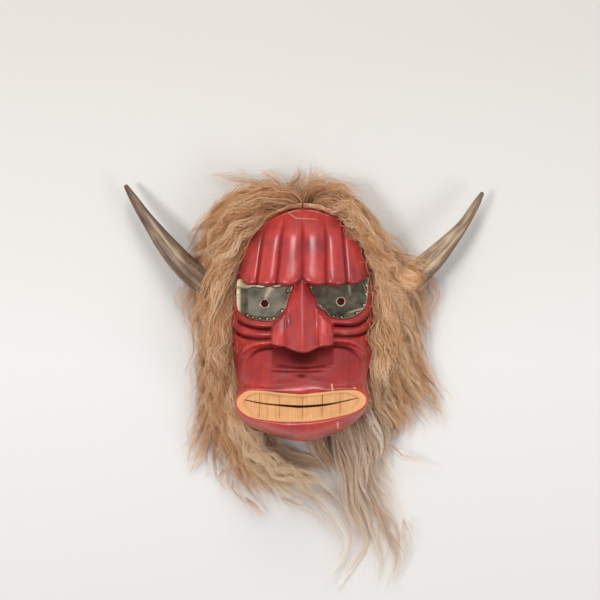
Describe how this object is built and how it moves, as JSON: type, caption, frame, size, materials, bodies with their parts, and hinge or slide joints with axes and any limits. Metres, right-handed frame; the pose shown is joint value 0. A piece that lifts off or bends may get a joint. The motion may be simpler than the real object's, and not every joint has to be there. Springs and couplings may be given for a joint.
{
  "type": "carved mask",
  "caption": "Carved wooden horned mask, red paint, sheet metal eye plates, bare wood teeth, horns on wooden plugs and long hair on tacked hide strips",
  "frame": {"origin": "middle of the open back, level with the rim that rests on a wall or a table", "axes": "+X to the viewer's right facing the mask, +Y to the top of the head, +Z out of the face; it lies face up on its rim"},
  "size_m": [0.4609, 0.554, 0.127],
  "materials": {
    "red_painted_wood": "satin",
    "bare_wood": "matte",
    "tin_plate": "satin",
    "brass_pin": "satin",
    "rawhide": "matte",
    "steel_tack": "satin",
    "dark_horn": "satin",
    "pale_horn": "satin",
    "mane_hair": "matte",
    "beard_hair": "matte"
  },
  "bodies": {
    "root": {"mask_shell": "red_painted_wood", "tooth_panel": "bare_wood", "left_eye_plate": "tin_plate", "right_eye_plate": "tin_plate", "left_eye_pins": "brass_pin", "right_eye_pins": "brass_pin", "left_hide_strip": "rawhide", "right_hide_strip": "rawhide", "beard_strip": "rawhide", "left_strip_tacks": "steel_tack", "right_strip_tacks": "steel_tack", "beard_tacks": "steel_tack", "left_horn": "dark_horn", "right_horn": "pale_horn", "left_horn_plug": "bare_wood", "right_horn_plug": "bare_wood", "left_horn_screw": "steel_tack", "right_horn_screw": "steel_tack", "left_horn_pins": "steel_tack", "right_horn_pins": "steel_tack", "left_mane": "mane_hair", "right_mane": "mane_hair", "left_beard": "beard_hair", "right_beard": "beard_hair"}
  },
  "joints": []
}
